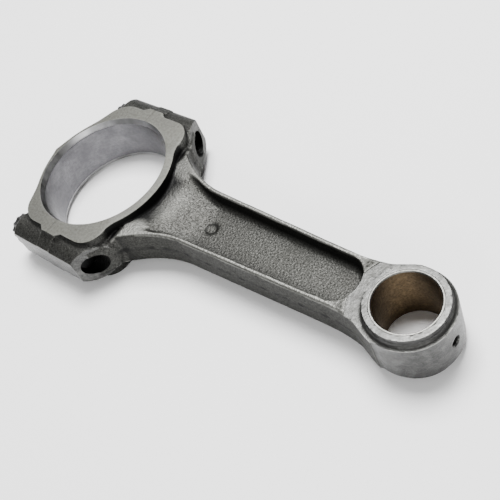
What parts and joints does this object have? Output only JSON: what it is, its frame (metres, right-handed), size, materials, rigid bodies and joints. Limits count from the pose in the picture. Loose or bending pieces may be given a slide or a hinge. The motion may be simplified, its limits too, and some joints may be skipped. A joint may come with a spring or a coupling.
{
  "type": "connecting rod",
  "caption": "Forged I-beam connecting rod with a bronze-bushed small end and a bolted bearing cap closing a wide bare crankpin bore.",
  "frame": {"origin": "centre of the bounding box in plan, on the surface that the rod lies on; the big bore's axis is at X = -67.5 mm and the pin bore's at X = +84.9 mm, both parallel to Z", "axes": "+X from the big end to the small end, +Y across the rod towards cap_screw_far, +Z along both bores"},
  "size_m": [0.203, 0.0844, 0.0254],
  "materials": {
    "forged_steel": "forged and peened grey steel with ground faces",
    "cap_steel": "forged and peened grey steel with ground faces",
    "black_oxide_steel": "black oxide, satin",
    "bushing_bronze": "honed bronze, mottled brown",
    "pin_steel": "ground"
  },
  "bodies": {
    "rod": {"rod_forging": "forged_steel", "pin_bushing": "bushing_bronze", "dowel_near": "pin_steel", "dowel_far": "pin_steel"},
    "cap": {"bearing_cap": "cap_steel"},
    "screw_near": {"cap_screw_near": "black_oxide_steel"},
    "screw_far": {"cap_screw_far": "black_oxide_steel"}
  },
  "joints": [
    {"name": "cap_draw", "type": "slide", "parent": "rod", "child": "cap", "axis": [-1, 0, 0], "range_m": [0, 0.045]},
    {"name": "screw_near_draw", "type": "slide", "parent": "cap", "child": "screw_near", "axis": [-1, 0, 0], "range_m": [0, 0.042]},
    {"name": "screw_far_draw", "type": "slide", "parent": "cap", "child": "screw_far", "axis": [-1, 0, 0], "range_m": [0, 0.042]}
  ]
}
